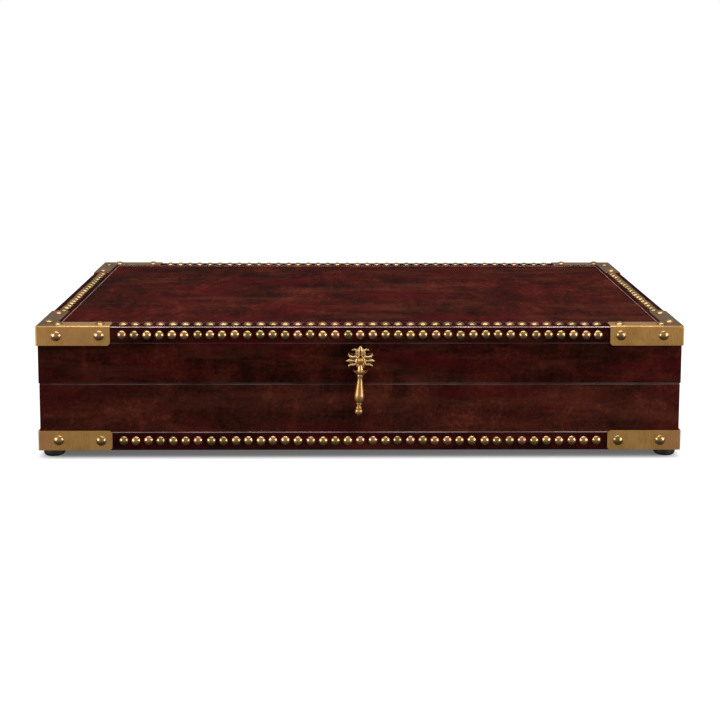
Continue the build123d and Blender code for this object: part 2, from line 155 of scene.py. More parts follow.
opal, tree, place = new_material("matt_opal_acrylic")
table_width = 40
shadow_halves = (0.299, 0.1765)
shadow_rounding = 0.02
shadow_inner, shadow_outer = -0.008, 0.013
shadow_glow = 0.13
axes = add(tree, "SeparateXYZ", {0: place}).outputs
outside = []
for i, half in enumerate(shadow_halves):
    size = add(tree, "Math", {0: axes[i]}, operation="ABSOLUTE")
    outside.append(add(tree, "Math", {0: size.outputs[0], 1: half}, operation="SUBTRACT").outputs[0])
away = add(tree, "Math", {0: outside[0], 1: outside[1], 2: shadow_rounding}, operation="SMOOTH_MAX")
# The glow is dimmed beside the box into a painted soft shadow.
glow = add(tree, "MapRange", {"Value": away.outputs[0], "From Min": shadow_inner,
                              "From Max": shadow_outer, "To Min": shadow_glow, "To Max": 1.0},
           interpolation_type="SMOOTHSTEP")
shader = shade(tree, Base_Color=linear("#7a7a7a"), Roughness=1.0, Emission_Color=(1, 1, 1, 1),
               Emission_Strength=glow.outputs[0])
shader.inputs["Specular IOR Level"].default_value = 0.0
bpy.ops.object.select_all(action="DESELECT")
bpy.ops.mesh.primitive_plane_add(size=table_width)
floor = bpy.context.object
floor.name = "light_table"
floor.visible_glossy = False
floor.visible_diffuse = False
floor.data.materials.append(opal)


# Leather covers of base and lid: waxed aniline cowhide of 1.2 mm, antiqued oxblood, glued over the boards
# and turned in over the rims, which are cut for the hinges. Olive-brown, red and purple patches run into
# each other, streaks follow the length, and along the rims a pale line is partly rubbed-through colour and
# partly a painted highlight.
MM = 0.001


def leather(name, tones, wear_and_highlight_lines, half_x, half_y):
    """Antiqued leather. A pale line, of wear and at folds and rims of painted highlight too, has a depth
    inside the outer faces, a level, a width and a strength.
    """
    made, tree, place = new_material(name)
    # Streaks are 70 mm long, patches 40 mm wide and 100 mm from front to back, and the speckle is 4 mm
    stretched = add(tree, "Mapping", {"Vector": place, "Scale": (14, 30, 58)}).outputs[0]
    drawn_back = add(tree, "Mapping", {"Vector": place, "Scale": (1, 0.42, 1)}).outputs[0]
    streaks = add(tree, "TexNoise", {"Vector": stretched, "Scale": 1.0, "Detail": 8.0, "Roughness": 0.6,
                                     "Distortion": 0.4})
    patches = add(tree, "TexNoise", {"Vector": drawn_back, "Scale": 24.0, "Detail": 7.0, "Roughness": 0.66,
                                     "Distortion": 1.2})
    speckle = add(tree, "TexNoise", {"Vector": drawn_back, "Scale": 260.0, "Detail": 5.0, "Roughness": 0.75})
    total = add(tree, "Mix", {"Factor": 0.4, 2: patches.outputs["Fac"], 3: streaks.outputs["Fac"]})
    total = add(tree, "Mix", {"Factor": 0.33, 2: total.outputs[0], 3: speckle.outputs["Fac"]})
    level = add(tree, "MapRange", {"Value": total.outputs[0], "From Min": 0.38, "From Max": 0.62})
    colour = add(tree, "ValToRGB", {"Fac": level.outputs[0]}, stops=tones).outputs[0]
    for seed, drawn, scale, stain, most in ((3.0, drawn_back, 11.0, "#1d100b", 0.5),
                                            (8.0, stretched, 0.7, "#4a0d12", 0.6)):
        cloud = add(tree, "TexNoise", {"Vector": drawn, "Scale": scale, "Detail": 6.0, "Roughness": 0.6,
                                       "W": seed}, noise_dimensions="4D")
        stained = add(tree, "MapRange", {"Value": cloud.outputs["Fac"], "From Min": 0.5, "From Max": 0.66,
                                         "To Max": most})
        colour = add(tree, "Mix", {"Factor": stained.outputs[0], 6: colour, 7: linear(stain)},
                     data_type="RGBA").outputs[2]
    drawn_out = add(tree, "Mapping", {"Vector": place, "Scale": (9, 26, 60), "Location": (0.3, 0.7, 0.1)})
    scuffs = add(tree, "TexNoise", {"Vector": drawn_out.outputs[0], "Scale": 1.0, "Detail": 9.0,
                                    "Roughness": 0.64, "Distortion": 0.4})
    scuffed = add(tree, "MapRange", {"Value": scuffs.outputs["Fac"], "From Min": 0.5, "From Max": 0.74,
                                     "To Max": 0.28})
    colour = add(tree, "Mix", {"Factor": scuffed.outputs[0], 6: colour, 7: linear("#78402f")},
                 data_type="RGBA").outputs[2]
    axes = add(tree, "SeparateXYZ", {0: place}).outputs
    side = []
    for i, half in ((0, half_x), (1, half_y)):
        size = add(tree, "Math", {0: axes[i]}, operation="ABSOLUTE")
        side.append(add(tree, "Math", {0: size.outputs[0], 1: half}, operation="SUBTRACT").outputs[0])
    depth = add(tree, "Math", {0: side[0], 1: side[1]}, operation="MAXIMUM").outputs[0]
    rub_and_highlight_noise = add(tree, "TexNoise", {"Vector": place, "Scale": 32.0, "Detail": 2.0})
    rub_and_highlight = add(tree, "MapRange", {"Value": rub_and_highlight_noise.outputs["Fac"], "From Min": 0.35, "From Max": 0.62,
                                 "To Min": 0.4}).outputs[0]
    # Pale lines: rubbed-through colour, and on the folds and rims also a painted highlight.
    for line_depth, line_level, width, strength in wear_and_highlight_lines:
        wear_and_highlight = rub_and_highlight
        for where, line in ((depth, line_depth), (axes[2], line_level)):
            off = add(tree, "Math", {0: where, 1: line}, operation="SUBTRACT").outputs[0]
            off = add(tree, "Math", {0: off}, operation="ABSOLUTE").outputs[0]
            near = add(tree, "MapRange", {"Value": off, "From Min": width, "From Max": width * 0.5})
            wear_and_highlight = add(tree, "Math", {0: wear_and_highlight, 1: near.outputs[0]}, operation="MULTIPLY").outputs[0]
        wear_and_highlight = add(tree, "Math", {0: wear_and_highlight, 1: strength}, operation="MULTIPLY").outputs[0]
        colour = add(tree, "Mix", {"Factor": wear_and_highlight, 6: colour, 7: linear("#e9d2cb")},
                     data_type="RGBA").outputs[2]
    # The pebble is 1.6 mm, a little coarser than on the hide, so that it shows
    pebble = add(tree, "TexVoronoi", {"Vector": place, "Scale": 640.0}, feature="SMOOTH_F1")
    crease = add(tree, "TexNoise", {"Vector": place, "Scale": 90.0, "Detail": 8.0, "Roughness": 0.65})
    height = add(tree, "Math", {0: pebble.outputs["Distance"], 1: crease.outputs["Fac"]}, operation="ADD")
    bump = add(tree, "Bump", {"Height": height.outputs[0], "Strength": 0.3, "Distance": 0.25 * MM})
    gloss = add(tree, "MapRange", {"Value": crease.outputs["Fac"], "To Min": 0.38, "To Max": 0.62})
    shader = shade(tree, Base_Color=colour, Roughness=gloss.outputs[0], Normal=bump.outputs["Normal"])
    shader.inputs["Specular IOR Level"].default_value = 0.002
    return made


def choose(kind, test):
    """Selects the vertices, edges or faces of the piece in edit mode that pass a test."""
    bpy.ops.mesh.select_mode(type=kind)
    bpy.ops.mesh.select_all(action="DESELECT")
    piece = bpy.context.object
    mesh = bmesh.from_edit_mesh(piece.data)
    for element in {"VERT": mesh.verts, "EDGE": mesh.edges, "FACE": mesh.faces}[kind]:
        if test(element):
            element.select_set(True)
    mesh.select_flush_mode()
    bmesh.update_edit_mesh(piece.data)


def block(name, low, high):
    """A new block between two corners, left in edit mode."""
    low, high = Vector(low), Vector(high)
    bpy.ops.object.select_all(action="DESELECT")
    bpy.ops.mesh.primitive_cube_add(size=1, location=(low + high) / 2, scale=high - low)
    bpy.ops.object.transform_apply(location=True, rotation=True, scale=True)
    piece = bpy.context.object
    piece.name = name
    bpy.ops.object.mode_set(mode="EDIT")
    return piece


def cut(point, normal):
    """Cuts off what lies beyond a plane, on the side that its normal points to, and closes the cut."""
    bpy.ops.mesh.select_all(action="SELECT")
    bpy.ops.mesh.bisect(plane_co=point, plane_no=normal, clear_outer=True, use_fill=True)


def pick(piece):
    """Makes one piece the selected and active one."""
    bpy.ops.object.select_all(action="DESELECT")
    piece.select_set(True)
    bpy.context.view_layer.objects.active = piece


def apply_modifier(piece, kind, **settings):
    """Adds a modifier with its settings and applies it."""
    pick(piece)
    made = piece.modifiers.new(kind.lower(), kind)
    for key, value in settings.items():
        setattr(made, key, value)
    bpy.ops.object.modifier_apply(modifier=made.name)


def carve(piece, *tools):
    """Cuts the shapes of other pieces out of one, and removes them."""
    for tool in tools:
        apply_modifier(piece, "BOOLEAN", object=tool, operation="DIFFERENCE", solver="EXACT")
        bpy.data.objects.remove(tool)


def smooth(piece, degrees):
    """Smooth shading across the small edges, with flat faces kept flat."""
    pick(piece)
    bpy.ops.object.shade_smooth_by_angle(angle=math.radians(degrees))
    apply_modifier(piece, "WEIGHTED_NORMAL", keep_sharp=True)


def belongs(piece, body, material, slot, *replaced):
    """Gives a finished piece its material, its body and the nodes that it stands for; its slot is not used.
    """
    piece.data.materials.clear()
    piece.data.materials.append(material)
    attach(piece, body)
    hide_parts(*replaced)


skin = 1.2 * MM
corner_round = 0.9 * MM
pin_low, pin_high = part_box("hinge_pin_left")
axis = Vector((0, (pin_low.y + pin_high.y) / 2, (pin_low.z + pin_high.z) / 2))
stop_slope = math.radians(47.5)
stop_gap = 0.15 * MM
knuckle_room = 2.75 * MM
leaf_reach = 11.35 * MM
leaf_depth = 1.25 * MM
room_spare = 0.35 * MM
past_rim = 9 * MM
past_leaf = 5 * MM
# The pale line round each cover's rim is partly worn colour and partly a painted highlight on its edge.
rim_wear_and_highlight = (1.0 * MM, 0.14)
# The covers are one hide: the lid's darker tones are painted shade, and the base's lighter ones painted light
# from the floor.
panel_tones = {
    "base": [(0.0, "#21100a"), (0.35, "#371913"), (0.65, "#4b2018"), (1.0, "#653022")],
    "lid": [(0.0, "#180a07"), (0.35, "#2c110d"), (0.65, "#401711"), (1.0, "#59241a")],
}

for body, side in (("base", -1), ("lid", 1)):
    low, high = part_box(body + "_leather")
    outward = Vector((0, math.sin(stop_slope), -side * math.cos(stop_slope)))
    cover = block(body + "_leather_cover", low, high)
    cut(axis - outward * stop_gap, outward)
    bpy.ops.mesh.select_all(action="SELECT")
    bpy.ops.mesh.bevel(offset=corner_round, segments=4, affect="EDGES")
    bpy.ops.object.mode_set(mode="OBJECT")
    rim = low.z if body == "lid" else high.z
    tools = [block("boards_room", low + Vector((skin, skin, skin)), high - Vector((skin, skin, skin)))]
    cut(axis - outward * (stop_gap + skin), outward)
    bpy.ops.object.mode_set(mode="OBJECT")
    pad_low, pad_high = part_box("lid_lining_top" if body == "lid" else "base_lining_floor")
    ends = sorted((rim - side * past_rim, pad_high.z if body == "lid" else pad_low.z))
    tools.append(block("inside_room", (pad_low.x, pad_low.y, ends[0]), (pad_high.x, pad_high.y, ends[1])))
    bpy.ops.object.mode_set(mode="OBJECT")
    for hand in ("left", "right"):
        leaf_low, leaf_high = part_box("hinge_{}_leaf_{}".format(body, hand))
        from_x, to_x = leaf_low.x - room_spare, leaf_high.x + room_spare
        levels = sorted((rim - side * past_leaf, rim + side * leaf_depth))
        tools.append(block("knuckle_room", (from_x, axis.y - knuckle_room, axis.z - knuckle_room),
                           (to_x, axis.y + knuckle_room, axis.z + knuckle_room)))
        bpy.ops.object.mode_set(mode="OBJECT")
        tools.append(block("leaf_room", (from_x, axis.y - leaf_reach, levels[0]), (to_x, axis.y, levels[1])))
        bpy.ops.object.mode_set(mode="OBJECT")
    if body == "base":
        under_low, under_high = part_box("base_underside_cloth")
        tools.append(block("cloth_room", (under_low.x, under_low.y, 0),
                           (under_high.x, under_high.y, under_high.z)))
        bpy.ops.object.mode_set(mode="OBJECT")
    carve(cover, *tools)
    smooth(cover, 30)
    wear_and_highlight_lines = [(0, rim, *rim_wear_and_highlight)]
    hide = leather(body + "_oxblood_leather", panel_tones[body], wear_and_highlight_lines, high.x, -low.y)
    belongs(cover, body, hide, "box_leather", body + "_leather")


# Edge strips: the same leather skived to 0.7 mm and dyed darker, glued round the foot of the base and
# folded over the top edges of the lid, with mitred ends that the corner plates cover. Their folds and cut
# edges have pale lines: worn, and along the lid's folds and the base strip's upper edge a painted highlight
# too.
strip_thickness = 0.7 * MM
strip_fold = 1.1 * MM
strip_edge = 0.22 * MM
# Along the lid's folds and the base strip's upper edge the pale line is partly a painted highlight.
fold_wear_and_highlight = {"base": (0.85 * MM, 0.45), "lid": (0.85 * MM, 1.0)}
inner_edge_wear = (0.5 * MM, 0.5)
lower_edge_wear = (0.7 * MM, 0.12)
strip_tones = [(0.0, "#140707"), (0.4, "#260c0b"), (0.75, "#390f0e"), (1.0, "#4c1612")]
quarter_turns = {"front": 0, "right": 90, "back": 180, "left": 270}
for body in ("base", "lid"):
    front_low, front_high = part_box(body + "_trim_front")
    half_x, half_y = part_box(body + "_trim_right")[1].x, -front_low.y
    inner = (front_low - front_high).y
    wear_and_highlight_lines = [(0, front_high.z, *fold_wear_and_highlight[body])]
    if body == "lid":
        wear_and_highlight_lines += [(inner, front_high.z, *inner_edge_wear), (0, front_low.z, *lower_edge_wear)]
    hide = leather(body + "_strip_leather", strip_tones, wear_and_highlight_lines, half_x, half_y)
    for side, turn in quarter_turns.items():
        low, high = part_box("{}_trim_{}".format(body, side))
        size = high - low
        across, width = max(size.x, size.y), min(size.x, size.y)
        reach = half_x if side in ("left", "right") else half_y
        strip = block("{}_strip_{}".format(body, side), (-across / 2, -reach, low.z),
                      (across / 2, width - reach, high.z))
        choose("FACE", lambda f: f.normal.y > -0.9 and (body == "base" or f.normal.z < 0.9))
        bpy.ops.mesh.delete(type="FACE")
        if body == "lid":
            choose("EDGE", lambda e: len(e.link_faces) == 2)
            bpy.ops.mesh.bevel(offset=strip_fold, segments=4, affect="EDGES")
        bpy.ops.object.mode_set(mode="OBJECT")
        apply_modifier(strip, "SOLIDIFY", thickness=strip_thickness, offset=-1.0, use_even_offset=True)
        bpy.ops.object.mode_set(mode="EDIT")
        for end in (-1, 1):
            cut((end * across / 2, -reach, 0), (end, 1, 0))
        bpy.ops.object.mode_set(mode="OBJECT")
        apply_modifier(strip, "BEVEL", width=strip_edge, segments=2, limit_method="ANGLE",
                       angle_limit=math.radians(60))
        strip.data.transform(Matrix.Rotation(math.radians(turn), 4, "Z"))
        smooth(strip, 35)
        belongs(strip, body, hide, "trim_leather", "{}_trim_{}".format(body, side))


# Corner plates: brass sheet of 1 mm, sawn to shape, folded round the corner and rubbed to a satin finish.
# It has aged to soft patches, and on top, towards the sides and the back, it is darkened by a painted dark
# reflection. The lid's plates have two legs on top as well, the base's only the upright ones.
def brass(name, tones, copper, roughness, grain, along, patina_and_dark_reflection=None):
    """Aged brass: patches of tarnish and copper, and scratches drawn out along one axis, grain apart."""
    made, tree, place = new_material(name)
    # Patches of tarnish are 18 mm wide and of copper 33 mm, and a scratch is 12 times as long as it is wide
    tarnish = add(tree, "TexNoise", {"Vector": place, "Scale": 55.0, "Detail": 6.0, "Roughness": 0.6})
    scale = [1 / grain, 1 / grain, 1 / grain]
    scale[along] *= 0.08
    scratched = add(tree, "Mapping", {"Vector": place, "Scale": scale}).outputs[0]
    scratches = add(tree, "TexNoise", {"Vector": scratched, "Scale": 1.0, "Detail": 3.0})
    mixed = add(tree, "Mix", {"Factor": 0.35, 2: tarnish.outputs["Fac"], 3: scratches.outputs["Fac"]})
    level = add(tree, "MapRange", {"Value": mixed.outputs[0], "From Min": 0.36, "From Max": 0.64})
    colour = add(tree, "ValToRGB", {"Fac": level.outputs[0]}, stops=tones)
    blush = add(tree, "TexNoise", {"Vector": place, "Scale": 30.0, "Detail": 5.0, "W": 2.0},
                noise_dimensions="4D")
    reddened = add(tree, "MapRange", {"Value": blush.outputs["Fac"], "From Min": 0.5, "From Max": 0.7,
                                      "To Max": 0.8})
    colour = add(tree, "Mix", {"Factor": reddened.outputs[0], 6: colour.outputs[0], 7: linear(copper)},
                 data_type="RGBA")
    # One brown for both: real patina in the rosette's hollows, and a painted dark reflection on the plates'
    # tops.
    if patina_and_dark_reflection:
        share = patina_and_dark_reflection(tree, place)
        colour = add(tree, "Mix", {"Factor": share, 6: colour.outputs[2], 7: linear("#4a3213")},
                     data_type="RGBA")
    gloss = add(tree, "MapRange", {"Value": mixed.outputs[0], "From Min": 0.3, "From Max": 0.7,
                                   "To Min": roughness + 0.08, "To Max": roughness - 0.05})
    bump = add(tree, "Bump", {"Height": scratches.outputs["Fac"], "Strength": 0.15, "Distance": 0.05 * MM})
    shade(tree, Base_Color=colour.outputs[2], Metallic=1.0, Roughness=gloss.outputs[0],
          Normal=bump.outputs["Normal"])
    return made


plate_thickness = 1.0 * MM
plate_fold = 1.5 * MM
plate_end = 3.5 * MM
plate_edge = 0.25 * MM
top_width = 18 * MM
legs_from, legs_dark = 1.25 * top_width, 0.95 * top_width
close = 0.1 * MM
plate_side, plate_back, plate_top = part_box("lid_corner_back_right")[1]


def top_dark_reflection(tree, place):
    """The share of painted dark reflection: on the tops, towards the sides and the back."""
    axes = add(tree, "SeparateXYZ", {0: place}).outputs
    size = add(tree, "Math", {0: axes[0]}, operation="ABSOLUTE")
    beside = add(tree, "MapRange", {"Value": size.outputs[0], "From Min": plate_side - legs_from,
                                    "From Max": plate_side - legs_dark})
    behind = add(tree, "MapRange", {"Value": axes[1], "From Min": 0.0, "From Max": plate_back / 2,
                                    "To Max": 0.75})
    share = add(tree, "Math", {0: beside.outputs[0], 1: behind.outputs[0]}, operation="MAXIMUM")
    on_top = add(tree, "MapRange", {"Value": axes[2], "From Min": plate_top - 0.9 * MM,
                                    "From Max": plate_top - 0.2 * MM, "To Max": 0.7})
    return add(tree, "Math", {0: share.outputs[0], 1: on_top.outputs[0]}, operation="MULTIPLY").outputs[0]


plate_brass = brass("satin_aged_brass_sheet", [(0.0, "#b38549"), (0.5, "#ce9c5a"), (1.0, "#dbac6a")],
                    "#c0895e", 0.38, 0.7 * MM, 2, top_dark_reflection)
for body in ("base", "lid"):
    low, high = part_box(body + "_corner_front_left")
    plate = block(body + "_plate", low, high)
    choose("FACE", lambda f: f.normal.x > 0.9 or f.normal.y > 0.9 or f.normal.z < -0.9
           or (body == "base" and f.normal.z > 0.9))
    bpy.ops.mesh.delete(type="FACE")
    inner = low + Vector((top_width, top_width, 0))
    if body == "lid":
        for normal in ((1, 0, 0), (0, 1, 0)):
            choose("FACE", lambda f: f.normal.z > 0.9)
            bpy.ops.mesh.bisect(plane_co=inner, plane_no=normal)
        choose("FACE", lambda f: f.normal.z > 0.9 and f.calc_center_median().x > inner.x
               and f.calc_center_median().y > inner.y)
        bpy.ops.mesh.delete(type="FACE")

    def free_corner(v):
        """Whether a corner is at the end of a leg and not on a fold."""
        at_end = v.co.x > high.x - close or v.co.y > high.y - close
        on_side = body == "base" or v.co.z < low.z + close
        on_top = v.co.z > high.z - close and v.co.x > low.x + close and v.co.y > low.y + close
        return at_end and (on_side or on_top)

    choose("VERT", free_corner)
    bpy.ops.mesh.bevel(offset=plate_end, segments=5, affect="VERTICES")
    choose("EDGE", lambda e: len(e.link_faces) == 2 and e.calc_face_angle() > 1)
    bpy.ops.mesh.bevel(offset=plate_fold, segments=4, affect="EDGES")
    bpy.ops.object.mode_set(mode="OBJECT")
    apply_modifier(plate, "SOLIDIFY", thickness=plate_thickness, offset=-1.0, use_even_offset=True)
    apply_modifier(plate, "BEVEL", width=plate_edge, segments=2, limit_method="ANGLE",
                   angle_limit=math.radians(55))
    for end, across_y in (("front", 1), ("back", -1)):
        for hand, across_x in (("left", 1), ("right", -1)):
            copy = bpy.data.objects.new("{}_plate_{}_{}".format(body, end, hand), plate.data.copy())
            bpy.context.scene.collection.objects.link(copy)
            copy.data.transform(Matrix.Diagonal((across_x, across_y, 1, 1)))
            if across_x * across_y < 0:
                copy.data.flip_normals()
            smooth(copy, 35)
            belongs(copy, body, plate_brass, "plate_brass", "{}_corner_{}_{}".format(body, end, hand))
    bpy.data.objects.remove(plate)


# Nails: pressed brass heads on steel shanks, antiqued, driven by hand along the strips and through
# the plates, so no two sit quite alike. Each head keeps its own tone, from olive to copper, and is glossy
# with a little grime.
nail_metal, tree, place = new_material("antique_brass_nails")
tone = add(tree, "Attribute", attribute_name="tone")
grime = add(tree, "TexNoise", {"Vector": place, "Scale": 420.0, "Detail": 4.0})
level = add(tree, "Math", {0: grime.outputs["Fac"], 1: 0.6, 2: -0.3}, operation="MULTIPLY_ADD")
level = add(tree, "Math", {0: tone.outputs["Fac"], 1: level.outputs[0]}, operation="ADD")
colour = add(tree, "ValToRGB", {"Fac": level.outputs[0]},
             stops=[(0.0, "#806d46"), (0.35, "#9a7c50"), (0.7, "#b08c60"), (1.0, "#a4755a")])
gloss = add(tree, "MapRange", {"Value": grime.outputs["Fac"], "To Min": 0.22, "To Max": 0.4})
shade(tree, Base_Color=colour.outputs["Color"], Metallic=1.0, Roughness=gloss.outputs[0])

random.seed(7)
wander = 0.35 * MM
lean = math.radians(2)
cap_angle = math.radians(58)
head_spread = 1.03
nodes = frame["nodes"]
nail_rows = {
    "base_row_nails": "base",
    "base_corner_nails": "base",
    "lid_row_nails": "lid",
    "lid_top_nails": "lid",
    "lid_corner_nails": "lid",
}
bpy.ops.object.select_all(action="DESELECT")
bpy.ops.mesh.primitive_uv_sphere_add(segments=16, ring_count=16, radius=1)
head = bpy.context.object
bpy.ops.object.mode_set(mode="EDIT")
cut((0, 0, math.cos(cap_angle)), (0, 0, -1))
bpy.ops.mesh.select_all(action="SELECT")
bpy.ops.transform.translate(value=(0, 0, -math.cos(cap_angle)))
share = 1 / math.sin(cap_angle)
bpy.ops.transform.resize(value=(share, share, 1 / (1 - math.cos(cap_angle))), center_override=(0, 0, 0))
bpy.ops.object.mode_set(mode="OBJECT")
head.data.attributes.new("tone", "FLOAT", "POINT")
bpy.ops.object.shade_smooth_by_angle(angle=math.radians(60))


def separate_solids(node):
    """The corners of each separate solid of a node, sorted by place."""
    mesh = bmesh.new()
    mesh.from_mesh(nodes[node].data)
    bmesh.ops.remove_doubles(mesh, verts=mesh.verts, dist=0.01 * MM)
    solids, left = [], set(mesh.verts)
    while left:
        solid, border = set(), [next(iter(left))]
        while border:
            vert = border.pop()
            if vert not in solid:
                solid.add(vert)
                border += [edge.other_vert(vert) for edge in vert.link_edges]
        left -= solid
        solids.append(sorted((v.co.copy() for v in solid), key=lambda corner: tuple(corner)))
    mesh.free()
    return sorted(solids, key=lambda corners: tuple(corners[0]))


def unevenness(corner, corners):
    """How far a corner's distances to the others differ, which is nothing at the tip of a nail."""
    gaps = [(corner - other).length for other in corners if other is not corner]
    return max(gaps) - min(gaps)


for node, body in nail_rows.items():
    copies = []
    for corners in separate_solids(node):
        tip = min(corners, key=lambda corner: unevenness(corner, corners))
        rim = [corner for corner in corners if corner is not tip]
        foot = sum(rim, Vector()) / len(rim)
        radius = max((corner - foot).length for corner in rim)
        rise = tip - foot
        copy = bpy.data.objects.new("nail", head.data.copy())
        bpy.context.scene.collection.objects.link(copy)
        tilt = Matrix.Rotation(random.gauss(0, lean), 4, "X") @ Matrix.Rotation(random.gauss(0, lean), 4, "Y")
        upright = rise.to_track_quat("Z", "Y").to_matrix().to_4x4()
        shift = upright @ Vector((random.uniform(-wander, wander), random.uniform(-wander, wander), 0))
        size = Matrix.Diagonal((head_spread * radius, head_spread * radius, rise.length, 1))
        copy.data.transform(Matrix.Translation(foot + shift) @ upright @ tilt @ size)
        copy.data.attributes["tone"].data.foreach_set("value", [random.random()] * len(copy.data.vertices))
        copies.append(copy)
    bpy.ops.object.select_all(action="DESELECT")
    for copy in copies:
        copy.select_set(True)
    bpy.context.view_layer.objects.active = copies[0]
    bpy.ops.object.join()
    copies[0].name = node + "_domed"
    belongs(copies[0], body, nail_metal, "nail_brass", node)
bpy.data.objects.remove(head)


# Rosette of the pull: cast brass, pierced, with a shield round the post, a crown between two horns above
# it, and on either side a finger between two claws. It was tumbled and polished, so the ridges shine and
# the hollows have stayed darker.
pin_low, pin_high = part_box("pull_pin")
pivot = (pin_low + pin_high) / 2
hub = Vector((pivot.x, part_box("pull_rosette")[1].y, pivot.z))
# The patina begins this far out from the lid, is at its fullest nearer to it, and has this share there
hollow_from, hollow_full = 1.75 * MM, 0.65 * MM
hollow_share = 0.85


def hollow_patina(tree, place):
    """The share of patina: in the hollows of the rosette, which are nearest to the lid."""
    axes = add(tree, "SeparateXYZ", {0: place}).outputs
    hollow = add(tree, "MapRange", {"Value": axes[1], "From Min": hub.y - hollow_from,
                                    "From Max": hub.y - hollow_full, "To Max": hollow_share})
    return hollow.outputs[0]


pull_tones = [(0.0, "#94703e"), (0.5, "#b98f57"), (1.0, "#cda873")]
pull_brass = brass("cast_polished_brass", pull_tones, "#b57a54", 0.4, 0.5 * MM, 0)
rosette_brass = brass("cast_hollowed_brass", [(0.0, "#b08a55"), (0.5, "#d3ac74"), (1.0, "#e6c892")],
                      "#c58f66", 0.34, 0.5 * MM, 0, hollow_patina)


def on_face(right, up, out=0.0):
    """A place on the lid's front, in millimetres from the middle of the rosette."""
    return hub + Vector((right, -out, up)) * MM


def ridge(*stops):
    """A rounded ridge through stops, each a place on the face with its height and radius in millimetres."""
    made = []
    for right, up, out, radius in stops:
        bpy.ops.mesh.primitive_uv_sphere_add(segments=12, ring_count=8, radius=radius * MM,
                                             location=on_face(right, up, out))
        made.append(bpy.context.object)
    for (*start, wide), (*end, narrow) in zip(stops, stops[1:]):
        start, end = on_face(*start), on_face(*end)
        turn = (end - start).to_track_quat("Z", "Y").to_euler()
        bpy.ops.mesh.primitive_cone_add(vertices=12, radius1=wide * MM, radius2=narrow * MM,
                                        depth=(end - start).length, location=(start + end) / 2,
                                        rotation=turn)
        made.append(bpy.context.object)
    return made


# Each leaf of the right half, as the stops of its ridge: place to the right and up, height, radius
leaves = {
    "crown_middle": [(1.4, 4.4, 1.1, 1.1), (1.45, 9.0, 1.2, 1.15), (0.9, 12.0, 0.8, 0.8),
                     (0.2, 13.2, 0.4, 0.4)],
    "crown_side": [(3.8, 4.6, 0.8, 1.05), (3.8, 8.0, 0.9, 1.05), (2.9, 10.6, 0.6, 0.7)],
    "horn": [(3.4, 8.4, 0.7, 1.1), (5.2, 10.1, 0.9, 1.15), (7.0, 9.9, 0.8, 0.9), (8.3, 9.0, 0.5, 0.4)],
    "upper_claw": [(4.6, 3.3, 1.0, 1.3), (7.0, 2.8, 1.2, 1.3), (9.6, 3.4, 1.1, 1.3), (10.9, 5.0, 0.8, 0.9),
                   (11.0, 6.8, 0.5, 0.4)],
    "finger": [(5.3, -0.7, 0.9, 1.1), (8.4, -0.5, 1.1, 1.4), (11.2, -0.4, 1.1, 1.45),
               (13.9, -1.0, 0.4, 0.4)],
    "lower_claw": [(5.4, -4.2, 0.9, 1.2), (8.6, -4.2, 1.1, 1.3), (10.6, -5.0, 0.9, 1.05),
                   (11.1, -6.5, 0.6, 0.7), (10.7, -7.9, 0.4, 0.35)],
    "shield": [(1.9, 3.4, 1.1, 0.9), (3.3, 0.6, 1.3, 1.1), (3.7, -2.6, 1.3, 1.2), (2.7, -6.2, 1.0, 1.1),
               (1.4, -8.8, 0.7, 0.9)],
}
# The thin plate between the leaves, as ellipses: middle to the right and up, half width, half height
backing = {
    "crown": (0, 6.6, 4.4, 5.0),
    "right_claws": (6.6, -0.7, 5.2, 3.7),
    "left_claws": (-6.6, -0.7, 5.2, 3.7),
    "shield": (0, -2.6, 4.2, 6.6),
}
backing_out = 0.1
backing_thickness = 0.6 * MM
cast_detail = 0.2 * MM
# The hole for the post and the pierced one above it: height over the middle, radius
post_hole = (0, 2.05)
pierced_hole = (3.3, 1.0)
through = 12 * MM
ridges = []
for stops in leaves.values():
    ridges += ridge(*stops)
    ridges += ridge(*[(-right, up, out, radius) for right, up, out, radius in stops])
for right, up, half_width, half_height in backing.values():
    bpy.ops.mesh.primitive_uv_sphere_add(segments=24, ring_count=12, radius=1,
                                         location=on_face(right, up, backing_out),
                                         scale=(half_width * MM, backing_thickness, half_height * MM))
    ridges.append(bpy.context.object)
bpy.ops.object.select_all(action="DESELECT")
for part in ridges:
    part.select_set(True)
cast = ridges[0]
bpy.context.view_layer.objects.active = cast
bpy.ops.object.join()
bpy.ops.object.transform_apply(location=True, rotation=True, scale=True)
cast.name = "pull_rosette_cast"
apply_modifier(cast, "REMESH", mode="VOXEL", voxel_size=cast_detail)
apply_modifier(cast, "SMOOTH", factor=0.5, iterations=2)
bpy.ops.object.mode_set(mode="EDIT")
cut(hub, (0, 1, 0))
bpy.ops.object.mode_set(mode="OBJECT")
for up, radius in (post_hole, pierced_hole):
    bpy.ops.object.select_all(action="DESELECT")
    bpy.ops.mesh.primitive_cylinder_add(vertices=24, radius=radius * MM, depth=through,
                                        location=on_face(0, up), rotation=(math.radians(90), 0, 0))
    carve(cast, bpy.context.object)
smooth(cast, 50)
belongs(cast, "lid", rosette_brass, "pull_brass", "pull_rosette")


# Fork, pin and nut of the pull, hinge leaves, their pins, and the screws: machined or pressed, with their
# edges just broken. The leaves are drawn brass, tarnished and fairly glossy, and the screws and hinge pins
# zinc-plated steel with a pale frosted gloss.
fixed_to = {node: body for body, rows in frame["record"]["behaviour"]["bodies"].items() for node in rows}


